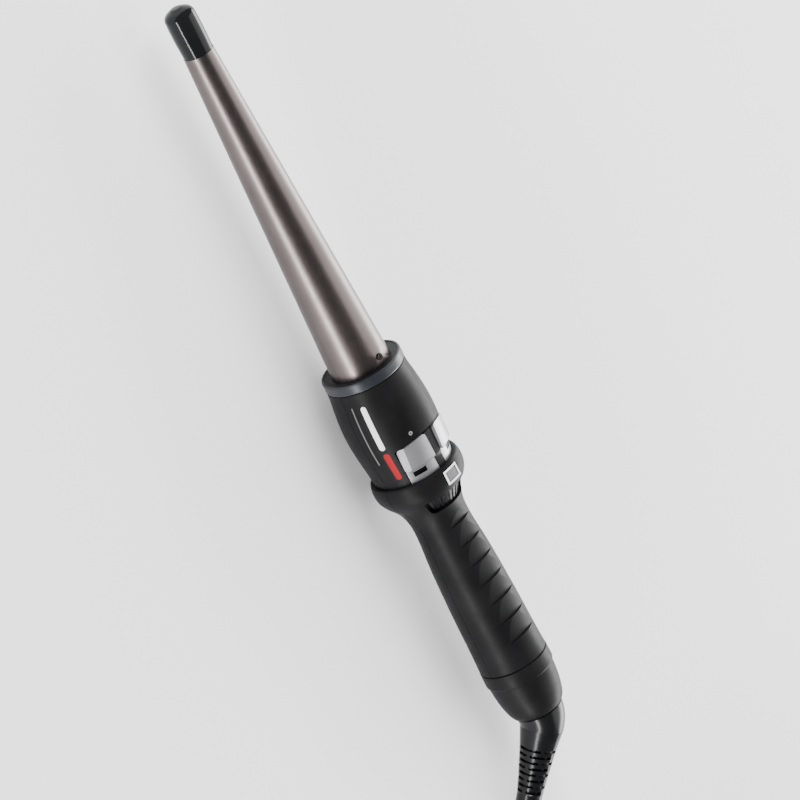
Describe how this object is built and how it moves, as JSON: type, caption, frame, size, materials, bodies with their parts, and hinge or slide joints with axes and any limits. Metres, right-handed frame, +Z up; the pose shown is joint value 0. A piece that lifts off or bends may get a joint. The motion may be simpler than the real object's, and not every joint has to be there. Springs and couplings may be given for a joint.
{
  "type": "curling wand",
  "caption": "Conical curling wand with a cool tip, saddle slide switch, temperature thumbwheel, stepped grip and swivel mains cord tied in a hank",
  "frame": {"origin": "on the table under the middle of the wand, the cord and what is on it left out", "axes": "+X runs along the wand toward the cool tip, +Z is up, where the switch faces, +Y is the side that the cord leaves toward"},
  "size_m": [0.557, 0.0558, 0.0385],
  "materials": {
    "tip_black": "gloss",
    "barrel_titanium": "satin titanium-brown coating",
    "screw_steel": "plain",
    "shield_black": "fine matte",
    "collar_slate": "semi-gloss",
    "housing_black": "soft-touch",
    "switch_silver": "silver lacquer",
    "strip_black": "satin",
    "bezel_chrome": "bright",
    "lens_grey": "clear",
    "led_red": "diffused",
    "dial_black": "ribbed",
    "heater_aluminium": "as cast",
    "ceramic_white": "unglazed",
    "mount_tan": "heat-resistant",
    "wire_red": "silicone",
    "contact_brass": "plain",
    "board_green": "solder mask",
    "component_black": "moulded",
    "capacitor_yellow": "moulded",
    "fuse_glass": "clear",
    "boot_black": "gloss",
    "cord_black": "satin",
    "tie_black": "woven",
    "plug_black": "satin",
    "pin_nickel": "bright"
  },
  "bodies": {
    "wand": {"barrel": "barrel_titanium", "cool_tip": "tip_black", "tip_lock": "screw_steel", "barrel_screw": "screw_steel", "heater_retainer": "screw_steel", "heater_core_upper": "heater_aluminium", "heater_core_lower": "heater_aluminium", "heater_plate": "ceramic_white", "thermistor": "fuse_glass", "thermal_fuse": "screw_steel", "heater_wires": "wire_red", "barrel_mount": "mount_tan", "heat_shield": "shield_black", "collar_ring": "collar_slate", "front_housing": "housing_black", "rear_housing": "housing_black", "housing_screws": "screw_steel", "switch_body": "component_black", "front_handle": "housing_black", "rear_handle": "housing_black", "handle_screws": "screw_steel", "indicator_bezel": "bezel_chrome", "indicator_lens": "lens_grey", "indicator_led": "led_red", "dial_control": "component_black", "control_board": "board_green", "triac": "component_black", "capacitor": "capacitor_yellow", "fuse": "fuse_glass", "supply_wires": "wire_red", "tail_cap": "housing_black", "brush_holder": "mount_tan", "brush_line": "contact_brass", "brush_neutral": "contact_brass"},
    "switch": {"switch_cap": "switch_silver", "switch_insert": "strip_black", "switch_actuator": "strip_black"},
    "dial": {"temperature_dial": "dial_black", "dial_spindle": "screw_steel"},
    "swivel": {"swivel_hub": "strip_black", "slip_ring_line": "contact_brass", "slip_ring_neutral": "contact_brass", "strain_relief": "boot_black", "cord": "cord_black", "cord_hank": "cord_black", "cord_tie": "tie_black", "plug_body": "plug_black", "plug_pins": "pin_nickel"}
  },
  "joints": [
    {"name": "switch_slide", "type": "slide", "parent": "wand", "child": "switch", "axis": [-1, 0, 0], "range_m": [0, 0.0026]},
    {"name": "dial_turn", "type": "hinge", "parent": "wand", "child": "dial", "pos_m": [-0.06225, 0, 0.02232], "axis": [1, 0, 0], "range_deg": [0, 270]},
    {"name": "cord_swivel", "type": "hinge", "parent": "wand", "child": "swivel", "pos_m": [-0.16275, 0, 0.01912], "axis": [1, 0, 0], "continuous": true}
  ]
}
